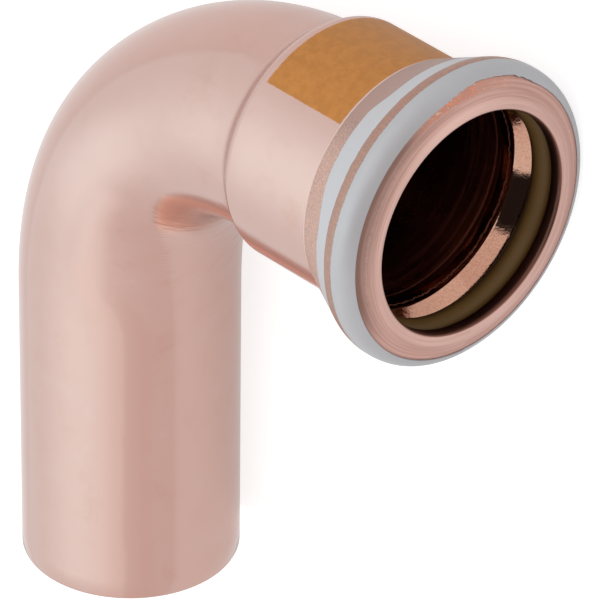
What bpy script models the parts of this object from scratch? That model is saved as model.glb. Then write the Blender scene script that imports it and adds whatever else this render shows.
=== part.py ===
# Copper press elbow: a plain end, a quarter bend and one press socket,
# with the seal ring in the socket's bead and the indicator ring over it.
# The fitting is drawn upright, with the plain end's axis on Z and the
# socket's axis along X, and is then laid on its side as it comes to rest.
# Units are metres, +Z is up.

import math

import bmesh
import bpy
from mathutils import Matrix, Vector

MM = 0.001

# Driving dimensions of the tube and its bend
PIPE_RADIUS = 11.0 * MM
WALL = 1.1 * MM
PLAIN_LEG = 31.0 * MM
BEND_RADIUS = 29.0 * MM
BEND_SWEEP = math.radians(80.0)
BEND_FLATTENING = 2.1 * MM
BEND_STEPS = 16
SIDES = 48

# Driving dimensions of the socket. A reach is measured from the plain
# end's axis along the socket's axis.
STEP_START = 25.7 * MM
STEP_END = 28.3 * MM
STOP_START = 26.4 * MM
STOP_END = 28.6 * MM
NECK_RADIUS = 12.4 * MM
FLARE_FOOT = 41.34 * MM
BEAD_REACH = 45.4 * MM
BEAD_CENTRE = 12.4 * MM
BEAD_ROUND = 2.27 * MM
BEAD_FRONT = 1.70 * MM
BEAD_END_ANGLE = math.radians(72.0)
MOUTH_REACH = 48.2 * MM
MOUTH_RADIUS = 11.3 * MM

# Lip turned in round the mouth: reach back from the mouth, radius
LIP_CREASE = (0.72 * MM, 12.95 * MM)
LIP_SHOULDER = (0.18 * MM, 12.78 * MM)
LIP_FACE_OUTER = 12.40 * MM
LIP_FACE_INNER = 11.75 * MM
LIP_EDGE_ROUND = 0.30 * MM

# Groove inside the bead, and the seal ring in it
GROOVE_FRONT = 1.32 * MM
GROOVE_END_ANGLE = math.radians(70.0)
SEAL_CORD_RADIUS = 1.10 * MM
SEAL_RADIUS = 11.98 * MM
SEAL_REACH = 45.25 * MM
SEAL_CORD_SIDES = 12

# Indicator ring shrunk over the bead
FILM_GAP = 0.30 * MM
FILM_THICKNESS = 0.30 * MM
FILM_START = 38.85 * MM
FILM_END_ANGLE = math.radians(57.0)

STEP_POINTS = 4
ARC_STEP = math.radians(15.0)


def clear_scene():
    for thing in list(bpy.data.objects):
        bpy.data.objects.remove(thing, do_unlink=True)


def new_collection(name):
    collection = bpy.data.collections.new(name)
    bpy.context.scene.collection.children.link(collection)
    return collection


def plain_material(name, colour, metallic, roughness):
    material = bpy.data.materials.new(name)
    material.use_nodes = True
    shader = material.node_tree.nodes["Principled BSDF"]
    shader.inputs["Base Color"].default_value = (*colour, 1.0)
    shader.inputs["Metallic"].default_value = metallic
    shader.inputs["Roughness"].default_value = roughness
    material.diffuse_color = (*colour, 1.0)
    return material


def copper():
    return plain_material("satin_copper", (0.73, 0.47, 0.38), 1.0, 0.35)


def seal_elastomer():
    return plain_material("seal_elastomer", (0.085, 0.055, 0.018), 0.0, 0.45)


def indicator_film():
    return plain_material("indicator_film", (0.52, 0.55, 0.58), 0.0, 0.40)


def ease(start, end, count):
    """Points of a smooth S from start to end, each a (reach, radius)."""
    points = []
    for index in range(count + 1):
        share = index / count
        rise = 0.5 - 0.5 * math.cos(math.pi * share)
        reach = start[0] + (end[0] - start[0]) * share
        radius = start[1] + (end[1] - start[1]) * rise
        points.append((reach, radius))
    return points


def over_bead(start, end, rear, front, height):
    """Points of a rounding about the bead's centre, between two angles.

    An angle is taken from the crest and is positive towards the mouth. The
    rounding reaches by rear behind the crest and by front before it.
    """
    count = math.ceil((end - start) / ARC_STEP)
    points = []
    for index in range(count + 1):
        angle = start + (end - start) * index / count
        half_length = rear if angle < 0.0 else front
        reach = BEAD_REACH + half_length * math.sin(angle)
        points.append((reach, BEAD_CENTRE + height * math.cos(angle)))
    return points


def flare_slope():
    """Slope of the conical flare, which runs from its foot to touch the bead."""
    return math.asin(BEAD_ROUND / (BEAD_REACH - FLARE_FOOT))


def neck_and_bead():
    """Outer line of the socket: step, neck, flare and bead."""
    points = ease((STEP_START, PIPE_RADIUS), (STEP_END, NECK_RADIUS), STEP_POINTS)
    points += [(FILM_START, NECK_RADIUS), (FLARE_FOOT, NECK_RADIUS)]
    return points + over_bead(-flare_slope(), BEAD_END_ANGLE, BEAD_ROUND, BEAD_FRONT, BEAD_ROUND)


def lip():
    """Outer line from the bead's front over the lip to the mouth's edge."""
    return [
        (MOUTH_REACH - LIP_CREASE[0], LIP_CREASE[1]),
        (MOUTH_REACH - LIP_SHOULDER[0], LIP_SHOULDER[1]),
        (MOUTH_REACH, LIP_FACE_OUTER),
        (MOUTH_REACH, LIP_FACE_INNER),
        (MOUTH_REACH - 0.35 * LIP_EDGE_ROUND, MOUTH_RADIUS + 0.5 * LIP_EDGE_ROUND),
        (MOUTH_REACH - LIP_EDGE_ROUND, MOUTH_RADIUS),
    ]


def offset_line(points, distance):
    """The line moved sideways by a distance, positive away from the axis."""
    moved = []
    for index, (reach, radius) in enumerate(points):
        before = points[max(index - 1, 0)]
        after = points[min(index + 1, len(points) - 1)]
        along = Vector((after[0] - before[0], after[1] - before[1])).normalized()
        moved.append((reach - along.y * distance, radius + along.x * distance))
    return moved


def bore_and_groove():
    """Inner line of the socket, from the mouth's edge back to the step."""
    slope = flare_slope()
    bore = NECK_RADIUS - WALL
    back_of_lip = MOUTH_REACH - WALL
    points = [
        (back_of_lip + LIP_EDGE_ROUND, MOUTH_RADIUS),
        (back_of_lip, LIP_FACE_INNER),
        (BEAD_REACH + GROOVE_FRONT, BEAD_CENTRE),
    ]
    depth = BEAD_ROUND - WALL
    points += reversed(over_bead(-slope, GROOVE_END_ANGLE, depth, GROOVE_FRONT, depth))
    points.append((FLARE_FOOT + WALL * math.tan(slope / 2.0), bore))
    stop = ease((STOP_END, bore), (STOP_START, PIPE_RADIUS - WALL), STEP_POINTS)
    return points + stop


def bend_place(angle, radius):
    """Matrix of the tube's section at an angle round the bend, Z along it.

    Bending flattens the tube towards its outer side, most of all halfway.
    """
    flattening = BEND_FLATTENING * math.sin(2.0 * angle) ** 2
    centre = Vector((BEND_RADIUS, 0.0, PLAIN_LEG))
    turn = Matrix.Rotation(angle, 4, "Y")
    start = Matrix.Translation((-BEND_RADIUS - flattening / 2.0, 0.0, 0.0))
    oval = Matrix.Diagonal((1.0 - flattening / (2.0 * radius), 1.0, 1.0, 1.0))
    return Matrix.Translation(centre) @ turn @ start @ oval


def socket_place(reach):
    """Matrix of the socket's section at a reach, Z along the socket."""
    height = PLAIN_LEG + BEND_RADIUS
    if reach < BEND_RADIUS:
        height = PLAIN_LEG + math.sqrt(BEND_RADIUS**2 - (BEND_RADIUS - reach) ** 2)
    if reach >= STEP_END:
        height = PLAIN_LEG + BEND_RADIUS
    turn = Matrix.Rotation(math.radians(90.0), 4, "Y")
    return Matrix.Translation((reach, 0.0, height)) @ turn


def tube_sections(radius):
    """Sections of the plain leg and the bend, as (place, radius)."""
    sections = [(Matrix.Identity(4), radius)]
    for index in range(BEND_STEPS + 1):
        angle = BEND_SWEEP * index / BEND_STEPS
        sections.append((bend_place(angle, radius), radius))
    return sections


def body_sections():
    """All round sections of the body: out along its skin, back along its bore."""
    sections = tube_sections(PIPE_RADIUS)
    for reach, radius in neck_and_bead() + lip() + bore_and_groove():
        sections.append((socket_place(reach), radius))
    sections += reversed(tube_sections(PIPE_RADIUS - WALL))
    return sections


def sweep_sections(name, sections, material, collection):
    """Join round sections in turn, and the last with the first, to one skin."""
    mesh = bpy.data.meshes.new(name)
    grown = bmesh.new()
    bmesh.ops.create_circle(grown, cap_ends=False, radius=1.0, segments=SIDES)
    edges = list(grown.edges)
    first_edges = edges
    place = Matrix.Identity(4)
    for index, (section, radius) in enumerate(sections):
        if index > 0:
            extruded = bmesh.ops.extrude_edge_only(grown, edges=edges)["geom"]
            edges = [item for item in extruded if isinstance(item, bmesh.types.BMEdge)]
        ring = list({vertex for edge in edges for vertex in edge.verts})
        target = section @ Matrix.Diagonal((radius, radius, 1.0, 1.0))
        bmesh.ops.transform(grown, matrix=target @ place.inverted(), verts=ring)
        place = target
    bmesh.ops.bridge_loops(grown, edges=edges + first_edges)
    bmesh.ops.recalc_face_normals(grown, faces=grown.faces)
    grown.to_mesh(mesh)
    grown.free()
    mesh.shade_smooth()
    mesh.set_sharp_from_angle(angle=math.radians(35.0))
    mesh.materials.append(material)
    body = bpy.data.objects.new(name, mesh)
    collection.objects.link(body)
    return body


def fitting_body(collection):
    return sweep_sections("fitting_body", body_sections(), copper(), collection)


def socket_axis_turn():
    """Turn that lays a ring's own Z axis along the socket's axis."""
    return (0.0, math.radians(90.0), 0.0)


def seal_ring(collection):
    bpy.ops.mesh.primitive_torus_add(
        major_radius=SEAL_RADIUS,
        minor_radius=SEAL_CORD_RADIUS,
        major_segments=SIDES,
        minor_segments=SEAL_CORD_SIDES,
        location=(SEAL_REACH, 0.0, PLAIN_LEG + BEND_RADIUS),
        rotation=socket_axis_turn(),
    )
    ring = bpy.context.active_object
    ring.name = "seal_ring"
    ring.data.name = "seal_ring"
    ring.data.shade_smooth()
    ring.data.materials.append(seal_elastomer())
    for holder in list(ring.users_collection):
        holder.objects.unlink(ring)
    collection.objects.link(ring)
    return ring


def film_line():
    """Inner line of the indicator ring.

    The film is shrunk tight: it runs straight from the neck to where it
    touches the bead, and then follows the bead over its crest.
    """
    start = (FILM_START, NECK_RADIUS + FILM_GAP)
    length = BEAD_REACH - start[0]
    rise = start[1] - BEAD_CENTRE
    round_radius = BEAD_ROUND + FILM_GAP
    slope = math.asin(round_radius / math.hypot(length, rise)) - math.atan2(rise, length)
    front = BEAD_FRONT + FILM_GAP
    return [start] + over_bead(-slope, FILM_END_ANGLE, round_radius, front, round_radius)


def film_outline():
    """Closed section of the indicator ring, running down its outer side."""
    inside = film_line()
    outside = offset_line(inside, FILM_THICKNESS)
    return list(reversed(outside)) + inside


def press_indicator_ring(collection):
    """A thin film turned about the socket's axis from its section."""
    mesh = bpy.data.meshes.new("press_indicator_ring")
    section = bmesh.new()
    corners = [section.verts.new((radius, 0.0, reach)) for reach, radius in film_outline()]
    for index, corner in enumerate(corners):
        section.edges.new((corner, corners[(index + 1) % len(corners)]))
    section.to_mesh(mesh)
    section.free()
    mesh.materials.append(indicator_film())
    ring = bpy.data.objects.new("press_indicator_ring", mesh)
    collection.objects.link(ring)
    ring.location = (0.0, 0.0, PLAIN_LEG + BEND_RADIUS)
    ring.rotation_euler = socket_axis_turn()
    turn = ring.modifiers.new("turned", "SCREW")
    turn.axis = "Z"
    turn.angle = math.radians(360.0)
    turn.steps = SIDES
    turn.render_steps = SIDES
    turn.use_merge_vertices = True
    turn.merge_threshold = 0.00001
    turn.use_smooth_shade = True
    return ring


def resting_lean():
    """Angle by which the socket's side rises, the ring being fatter than the tube."""
    ring_radius = BEAD_CENTRE + BEAD_ROUND + FILM_GAP + FILM_THICKNESS
    distance = math.hypot(ring_radius, BEAD_REACH)
    return math.acos(PIPE_RADIUS / distance) - math.atan2(BEAD_REACH, ring_radius)


def world_points(pieces):
    depsgraph = bpy.context.evaluated_depsgraph_get()
    points = []
    for piece in pieces:
        evaluated = piece.evaluated_get(depsgraph)
        mesh = evaluated.to_mesh()
        points += [evaluated.matrix_world @ vertex.co for vertex in mesh.vertices]
        evaluated.to_mesh_clear()
    return points


def lay_down(pieces, collection):
    """Lay the fitting on its side, the middle of its footprint at the origin."""
    rest = bpy.data.objects.new("lying_on_its_side", None)
    collection.objects.link(rest)
    for piece in pieces:
        piece.parent = rest
    rest.rotation_euler = (math.radians(-90.0), -resting_lean(), 0.0)
    bpy.context.view_layer.update()
    points = world_points(pieces)
    middle_x = (min(p.x for p in points) + max(p.x for p in points)) / 2.0
    middle_y = (min(p.y for p in points) + max(p.y for p in points)) / 2.0
    rest.location = (-middle_x, -middle_y, -min(p.z for p in points))
    bpy.context.view_layer.update()


def build():
    clear_scene()
    collection = new_collection("press_fit_elbow")
    pieces = [
        fitting_body(collection),
        seal_ring(collection),
        press_indicator_ring(collection),
    ]
    lay_down(pieces, collection)


build()
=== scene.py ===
import math

import bmesh
import bpy
from mathutils import Euler, Matrix, Vector


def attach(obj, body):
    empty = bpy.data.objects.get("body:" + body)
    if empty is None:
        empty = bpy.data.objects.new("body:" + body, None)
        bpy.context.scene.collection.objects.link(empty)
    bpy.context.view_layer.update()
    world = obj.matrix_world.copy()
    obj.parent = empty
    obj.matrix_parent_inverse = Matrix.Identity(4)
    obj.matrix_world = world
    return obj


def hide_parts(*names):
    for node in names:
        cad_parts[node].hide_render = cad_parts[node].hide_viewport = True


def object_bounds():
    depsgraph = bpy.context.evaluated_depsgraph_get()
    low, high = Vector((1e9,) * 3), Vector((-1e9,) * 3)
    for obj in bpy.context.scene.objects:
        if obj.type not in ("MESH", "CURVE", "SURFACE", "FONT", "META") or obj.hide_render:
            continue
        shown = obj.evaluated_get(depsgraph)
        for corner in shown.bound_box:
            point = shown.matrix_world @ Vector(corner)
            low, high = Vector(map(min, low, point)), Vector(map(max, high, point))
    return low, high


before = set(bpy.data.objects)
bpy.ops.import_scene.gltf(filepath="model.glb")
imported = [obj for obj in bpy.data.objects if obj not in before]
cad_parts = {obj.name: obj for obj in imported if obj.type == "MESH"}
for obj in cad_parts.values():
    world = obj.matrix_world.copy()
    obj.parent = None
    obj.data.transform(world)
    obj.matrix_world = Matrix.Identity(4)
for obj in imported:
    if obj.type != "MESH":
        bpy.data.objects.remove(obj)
cad_low, cad_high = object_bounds()


# The copper body
# One length of 22 mm copper tube. It is bent cold over a mandrel, and its end
# is then widened to a neck, rolled out to a bead and turned in to a lip.
# The outside is satin from drawing and pickling, the socket's inside polished.

MM = 0.001
TUBE_RADIUS = 11.0
TUBE_WALL = 1.1
TUBE_SIDES = 192
PLAIN_LEG = 31.0
LEG_SPACING = 2
CUT_EDGE_ROUND = 0.18
CUT_EDGE_SHARES_UP_AND_IN = ((0.0, 1.0), (0.3, 0.3), (1.0, 0.0))
BEND_RADIUS = 29.0
BEND_SWEEP = math.radians(80.0)
BEND_FLATTENING = 2.1
BEND_PLACES = 64

STEP_FOOT = 25.7
STEP_SHOULDER = 28.3
STEP_PLACES = 18
NECK_RADIUS = 12.4
NECK_REACHES = (30.0, 33.0, 36.0, 39.0)
FLARE_FOOT = 41.34
FLARE_FOOT_BLEND = 0.5
BEAD_REACH = 45.4
BEAD_CENTRE = 12.40
BEAD_ROUND = 2.71
BEAD_FRONT = 2.19
BEAD_SQUARENESS = 0.71
BEAD_END_ANGLE = 75.0
BEAD_POINT_SPACING = 5.0
FLARE_SLOPE = math.asin(BEAD_ROUND / (BEAD_REACH - FLARE_FOOT))
MOUTH_RADIUS = 11.22
LIP_CORNERS = [
    (47.56, 13.28),
    (47.66, 13.13),
    (47.79, 12.97),
    (47.93, 12.80),
    (48.07, 12.60),
    (48.18, 12.28),
    (48.22, 11.85),
    (48.13, 11.34),
    (47.80, MOUTH_RADIUS),
]
LIP_BACK_CORNERS = [(47.20, MOUTH_RADIUS), (46.80, MOUTH_RADIUS), (46.55, 11.60), (46.45, 12.40)]
BORE_RADIUS = NECK_RADIUS - TUBE_WALL
BORE_CORNER_BLEND = 0.3
BORE_SCORED_LINE = ((40.5, 0.0), (40.3, 0.0), (40.15, 0.06), (40.0, 0.0))
STOP_SHOULDER = 28.6
STOP_FOOT = 26.4
STOP_PLACES = 14
FILM_OUTER_RADIUS = 15.27
PLAIN_END_ASIDE = -19.074
SHARP_ANGLE = math.radians(50.0)

# Sizes are in millimetres. A reach is measured along the socket's axis from the
# plain end's axis. The tube's own length up to that place is this much more.
REACH_TO_LENGTH = PLAIN_LEG + BEND_RADIUS * BEND_SWEEP - BEND_RADIUS * (1.0 - math.cos(BEND_SWEEP))


def point_between(start, end, share):
    return start[0] + (end[0] - start[0]) * share, start[1] + (end[1] - start[1]) * share


def s_curve(start, end, count):
    """Points of a smooth S from start to end, each a (reach, radius)."""
    points = []
    for index in range(count + 1):
        share = index / count
        rise = 0.5 - 0.5 * math.cos(math.pi * share)
        points.append((point_between(start, end, share)[0], point_between(start, end, rise)[1]))
    return points


def softened(points, rounds):
    """A line with its corners cut off in rounds, a quarter of each side, its ends kept."""
    for _ in range(rounds):
        cut = [points[0]]
        for start, end in zip(points, points[1:]):
            cut += [point_between(start, end, 0.25), point_between(start, end, 0.75)]
        points = cut + [points[-1]]
    return points


def bead_point(angle, wall=0.0):
    """A point of the bead, by its angle from the crest, positive to the mouth.

    The bead is round behind its crest, and squarer and shorter before it.
    """
    across = math.sin(angle) * (BEAD_ROUND - wall)
    upward = math.cos(angle)
    if angle > 0.0:
        across = math.sin(angle) ** BEAD_SQUARENESS * (BEAD_FRONT - wall)
        upward = math.cos(angle) ** BEAD_SQUARENESS
    return BEAD_REACH + across, BEAD_CENTRE + upward * (BEAD_ROUND - wall)


def arc_over_bead(first, last, wall=0.0):
    """Points over the bead between two angles in degrees, a wall deep in the metal."""
    steps = round((last - first) / BEAD_POINT_SPACING)
    angles = [first + (last - first) * index / steps for index in range(steps + 1)]
    return [bead_point(math.radians(angle), wall) for angle in angles]


def flare_foot(reach, radius, length):
    """The soft corner where the neck turns out into the flare."""
    rising = (reach + length * math.cos(FLARE_SLOPE), radius + length * math.sin(FLARE_SLOPE))
    return softened([(reach - length, radius), (reach, radius), rising], rounds=2)


def step_neck_and_bead():
    """From the bend over the step, the neck and the flare to the bead's front."""
    points = s_curve((STEP_FOOT, TUBE_RADIUS), (STEP_SHOULDER, NECK_RADIUS), STEP_PLACES)
    points += [(reach, NECK_RADIUS) for reach in NECK_REACHES]
    points += flare_foot(FLARE_FOOT, NECK_RADIUS, FLARE_FOOT_BLEND)
    return points + arc_over_bead(-math.degrees(FLARE_SLOPE), BEAD_END_ANGLE)


def groove_and_bore():
    """From the lip's back through the seal's groove and the bore to the step inside."""
    points = softened(LIP_BACK_CORNERS, rounds=2)
    points += reversed(arc_over_bead(-math.degrees(FLARE_SLOPE), BEAD_END_ANGLE, TUBE_WALL))
    foot = FLARE_FOOT + TUBE_WALL * math.tan(FLARE_SLOPE / 2.0)
    points += reversed(flare_foot(foot, BORE_RADIUS, BORE_CORNER_BLEND))
    points += [(reach, BORE_RADIUS + depth) for reach, depth in BORE_SCORED_LINE]
    points += [(reach, BORE_RADIUS) for reach in reversed(NECK_REACHES)]
    stop = (STOP_FOOT, TUBE_RADIUS - TUBE_WALL)
    return points + s_curve((STOP_SHOULDER, BORE_RADIUS), stop, STOP_PLACES)


def bend_place(angle, radius):
    """Where the tube's section stands in the bend, flattened towards its outside."""
    flattening = BEND_FLATTENING * math.sin(2.0 * angle) ** 2
    centre = Matrix.Translation((BEND_RADIUS, 0.0, PLAIN_LEG))
    turn = Matrix.Rotation(angle, 4, "Y")
    start = Matrix.Translation((-BEND_RADIUS - flattening / 2.0, 0.0, 0.0))
    oval = Matrix.Diagonal((1.0 - flattening / (2.0 * radius), 1.0, 1.0, 1.0))
    return centre @ turn @ start @ oval


def socket_place(reach):
    """Where a section stands in the socket, whose start still follows the bend."""
    height = PLAIN_LEG + BEND_RADIUS
    if reach < STEP_SHOULDER:
        still_to_bend = BEND_RADIUS - reach
        drop = BEND_RADIUS - math.sqrt(BEND_RADIUS**2 - still_to_bend**2)
        height -= drop * min((STEP_SHOULDER - reach) / (STEP_SHOULDER - STEP_FOOT), 1.0)
    return Matrix.Translation((reach, 0.0, height)) @ Matrix.Rotation(math.radians(90.0), 4, "Y")


def tube_sections(radius, end_round):
    """Sections of the plain leg and the bend as (place, radius, length along).

    The cut end's edge is rounded inwards, or outwards where the rounding is less
    than nothing, as in the bore.
    """
    leg = []
    for share_up, share_in in CUT_EDGE_SHARES_UP_AND_IN:
        leg.append((share_up * abs(end_round), radius - share_in * end_round))
    leg += [(height, radius) for height in range(LEG_SPACING, round(PLAIN_LEG), LEG_SPACING)]
    sections = [(Matrix.Translation((0.0, 0.0, height)), wide, height) for height, wide in leg]
    for index in range(BEND_PLACES + 1):
        angle = BEND_SWEEP * index / BEND_PLACES
        sections.append((bend_place(angle, radius), radius, PLAIN_LEG + BEND_RADIUS * angle))
    return sections


def socket_sections(line):
    return [(socket_place(reach), radius, reach + REACH_TO_LENGTH) for reach, radius in line]


def lying_place():
    """The fitting is drawn upright, in millimetres, and lies down on its side.

    It leans a little, because it lies on the leg and on the film over the bead.
    The footprint's middle is at the origin, and the plain end lies aside of it.
    """
    distance = math.hypot(FILM_OUTER_RADIUS, BEAD_REACH)
    lean = math.acos(TUBE_RADIUS / distance) - math.atan2(BEAD_REACH, FILM_OUTER_RADIUS)
    turn = Euler((math.radians(-90.0), -lean, 0.0)).to_matrix().to_4x4()
    cut_middle = Matrix.Translation((PLAIN_END_ASIDE * MM, cad_low.y, TUBE_RADIUS * MM))
    return cut_middle @ turn @ Matrix.Scale(MM, 4)


def finished_piece(name, shape, upright_place):
    """An object at the origin from a bmesh, which lies down with the fitting."""
    bmesh.ops.transform(shape, matrix=lying_place() @ upright_place, verts=shape.verts)
    mesh = bpy.data.meshes.new(name)
    shape.to_mesh(mesh)
    shape.free()
    mesh.shade_smooth()
    mesh.set_sharp_from_angle(angle=SHARP_ANGLE)
    piece = bpy.data.objects.new(name, mesh)
    bpy.context.scene.collection.objects.link(piece)
    return piece


def swept_skin(name, outside, inside):
    """Round sections joined in turn to one closed skin, out and back again.

    Each point keeps its place on the straightened tube, in millimetres, in the
    attribute straight_tube: length along the tube, then across the section.
    The inside gets the piece's second finish.
    """
    grown = bmesh.new()
    straight = grown.verts.layers.float_vector.new("straight_tube")
    bmesh.ops.create_circle(grown, cap_ends=False, radius=1.0, segments=TUBE_SIDES)
    round_places = [corner.co.copy() for corner in grown.verts]
    ring = list(grown.verts)
    edges = list(grown.edges)
    first_edges = edges
    for index, (section, radius, length) in enumerate(outside + inside):
        if index > 0:
            extruded = bmesh.ops.extrude_edge_only(grown, edges=edges)["geom"]
            edges = [item for item in extruded if isinstance(item, bmesh.types.BMEdge)]
            if index > len(outside):
                for item in extruded:
                    if isinstance(item, bmesh.types.BMFace):
                        item.material_index = 1
            ring = [item for item in extruded if isinstance(item, bmesh.types.BMVert)]
        place = section @ Matrix.Diagonal((radius, radius, 1.0, 1.0))
        for corner, at in zip(ring, round_places):
            corner[straight] = (length, at.x * radius, at.y * radius)
            corner.co = place @ at
    bmesh.ops.bridge_loops(grown, edges=edges + first_edges)
    bmesh.ops.recalc_face_normals(grown, faces=grown.faces)
    return finished_piece(name, grown, Matrix.Identity(4))


def new_finish(name):
    """A new material, with its node tree and its shader."""
    material = bpy.data.materials.new(name)
    material.use_nodes = True
    return material, material.node_tree, material.node_tree.nodes["Principled BSDF"]


def add_node(tree, kind, **settings):
    made = tree.nodes.new(kind)
    for name, value in settings.items():
        setattr(made, name, value)
    return made


def feed(tree, socket, value):
    """Put a number, a colour or another node's output into a socket."""
    if isinstance(value, bpy.types.NodeSocket):
        tree.links.new(value, socket)
    else:
        socket.default_value = value


def math_step(tree, operation, first, second=0.0):
    made = add_node(tree, "ShaderNodeMath", operation=operation)
    feed(tree, made.inputs[0], first)
    feed(tree, made.inputs[1], second)
    return made.outputs[0]


def product(tree, first, *others):
    for other in others:
        first = math_step(tree, "MULTIPLY", first, other)
    return first


def opposite(tree, share):
    return math_step(tree, "SUBTRACT", 1.0, share)


def soft_step(tree, value, start, end):
    """0 before start and 1 after end, with a smooth passage between them."""
    made = add_node(tree, "ShaderNodeMapRange", interpolation_type="SMOOTHSTEP")
    feed(tree, made.inputs["Value"], value)
    feed(tree, made.inputs["From Min"], start)
    feed(tree, made.inputs["From Max"], end)
    return made.outputs["Result"]


def band(tree, value, start, end, blur):
    """1 between start and end and 0 outside, with soft edges."""
    rising = soft_step(tree, value, start - blur, start + blur)
    falling = soft_step(tree, value, end + blur, end - blur)
    return product(tree, rising, falling)


def angle_step(tree, angle, start, end):
    """A soft step of an angle, between two angles in degrees."""
    return soft_step(tree, angle, math.radians(start), math.radians(end))


def angle_band(tree, angle, start, end, blur):
    """A band of an angle, between two angles in degrees."""
    return band(tree, angle, math.radians(start), math.radians(end), math.radians(blur))


def noise(tree, place, scale, detail=2.0, roughness=0.5, stretch=(1.0, 1.0, 1.0)):
    """A noise from 0 to 1 on a place, stretched along the place's axes."""
    turned = add_node(tree, "ShaderNodeMapping")
    feed(tree, turned.inputs["Vector"], place)
    turned.inputs["Scale"].default_value = stretch
    made = add_node(tree, "ShaderNodeTexNoise")
    feed(tree, made.inputs["Vector"], turned.outputs["Vector"])
    made.inputs["Scale"].default_value = scale
    made.inputs["Detail"].default_value = detail
    made.inputs["Roughness"].default_value = roughness
    return made.outputs["Fac"]


# A Mix node has its sockets for colours after those for numbers and vectors.
MIX_SHARE, MIX_FIRST, MIX_SECOND, MIX_RESULT = 0, 6, 7, 2


def blend(tree, share, first, second, blend_type="MIX"):
    """A colour between two colours, or one added to the other."""
    made = add_node(tree, "ShaderNodeMix", data_type="RGBA", blend_type=blend_type)
    feed(tree, made.inputs[MIX_SHARE], share)
    feed(tree, made.inputs[MIX_FIRST], first)
    feed(tree, made.inputs[MIX_SECOND], second)
    return made.outputs[MIX_RESULT]


def between(tree, share, low, high):
    """A number between two numbers."""
    made = add_node(tree, "ShaderNodeMapRange")
    feed(tree, made.inputs["Value"], share)
    feed(tree, made.inputs["To Min"], low)
    feed(tree, made.inputs["To Max"], high)
    return made.outputs["Result"]


def unevenly(tree, value, noisy, most):
    """A value moved either way by a noise, by so much at most."""
    return math_step(tree, "ADD", value, between(tree, noisy, -most, most))


def straight_tube_place(tree):
    return add_node(tree, "ShaderNodeAttribute", attribute_name="straight_tube").outputs["Vector"]


def across_section(tree, place):
    """The two parts of a place on the straight tube that lie across its section."""
    parts = add_node(tree, "ShaderNodeSeparateXYZ")
    feed(tree, parts.inputs[0], place)
    return parts.outputs["Y"], parts.outputs["Z"]


def length_along(tree, place):
    """The tube's length from the cut end up to a place on the straight tube."""
    parts = add_node(tree, "ShaderNodeSeparateXYZ")
    feed(tree, parts.inputs[0], place)
    return parts.outputs["X"]


def reach_along(tree, place):
    """The reach along the socket's axis, from a place on the straight tube."""
    return math_step(tree, "SUBTRACT", length_along(tree, place), REACH_TO_LENGTH)


def radius_of(tree, place):
    """The distance from the tube's axis, from a place on the straight tube."""
    inwards, sideways = across_section(tree, place)
    squares = product(tree, inwards, inwards), product(tree, sideways, sideways)
    return math_step(tree, "SQRT", math_step(tree, "ADD", *squares))


def around_from_crown(tree, place):
    """The angle round the section from the bend's outer side, its crown.

    It is positive on the side that faces up as the fitting lies.
    """
    inwards, sideways = across_section(tree, place)
    outwards = product(tree, inwards, -1.0)
    return math_step(tree, "ARCTAN2", product(tree, sideways, -1.0), outwards)


def ring_marks(tree, *drawn_out):
    """Noise drawn out round the section, from pairs of a value and its closeness."""
    marked = add_node(tree, "ShaderNodeCombineXYZ")
    for socket, (value, closeness) in zip(marked.inputs, drawn_out):
        feed(tree, socket, product(tree, value, closeness))
    return noise(tree, marked.outputs[0], scale=1.0, detail=3.0, roughness=0.6)


def raised(tree, height, distance, under=None):
    """A bump of a height in metres on the surface, for a shader's Normal."""
    bump = add_node(tree, "ShaderNodeBump")
    bump.inputs["Distance"].default_value = distance
    feed(tree, bump.inputs["Height"], height)
    if under is not None:
        feed(tree, bump.inputs["Normal"], under)
    return bump.outputs["Normal"]


def drawn_grain_group():
    """Fine grain with faint lines along the tube, as drawing and pickling leave."""
    group = bpy.data.node_groups.new("drawn_grain", "ShaderNodeTree")
    group.interface.new_socket("Place", in_out="INPUT", socket_type="NodeSocketVector")
    for name, value in (("Grain", 0.5), ("Lines", 0.3), ("Mottle", 0.5)):
        socket = group.interface.new_socket(name, in_out="INPUT", socket_type="NodeSocketFloat")
        socket.default_value = value
    for name in ("Height", "Tone"):
        group.interface.new_socket(name, in_out="OUTPUT", socket_type="NodeSocketFloat")
    given = add_node(group, "NodeGroupInput")
    result = add_node(group, "NodeGroupOutput")
    place = given.outputs["Place"]
    grain = noise(group, place, scale=5.5, detail=3.0, roughness=0.6)
    lines = noise(group, place, scale=4.0, stretch=(0.03, 1.0, 1.0))
    mottle = noise(group, place, scale=0.28, detail=3.0, roughness=0.6)
    fine = product(group, grain, given.outputs["Grain"])
    drawn = product(group, lines, given.outputs["Lines"])
    feed(group, result.inputs["Height"], math_step(group, "ADD", fine, drawn))
    broad = product(group, math_step(group, "SUBTRACT", mottle, 0.5), given.outputs["Mottle"])
    broad_tone = math_step(group, "ADD", broad, 0.5)
    feed(group, result.inputs["Tone"], unevenly(group, broad_tone, grain, 0.175))
    return group


drawn_grain = drawn_grain_group()


def placed_grain(tree, place, grain, lines, mottle):
    made = add_node(tree, "ShaderNodeGroup")
    made.node_tree = drawn_grain
    feed(tree, made.inputs["Place"], place)
    made.inputs["Grain"].default_value = grain
    made.inputs["Lines"].default_value = lines
    made.inputs["Mottle"].default_value = mottle
    return made


# In the finishes, LENGTHS are along the tube, REACHES along the socket's axis,
# RADII from the axis and ANGLES in degrees from the crown. A pair is where a
# change starts and ends. A third number is how soft a band is on both sides.
COPPER = (0.605, 0.39, 0.34, 1.0)
COPPER_REDDER = (0.58, 0.355, 0.30, 1.0)
COPPER_PALER = (0.62, 0.415, 0.37, 1.0)
REDDER_TONES = (0.15, 0.50)
PALER_TONES = (0.50, 0.90)


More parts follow.
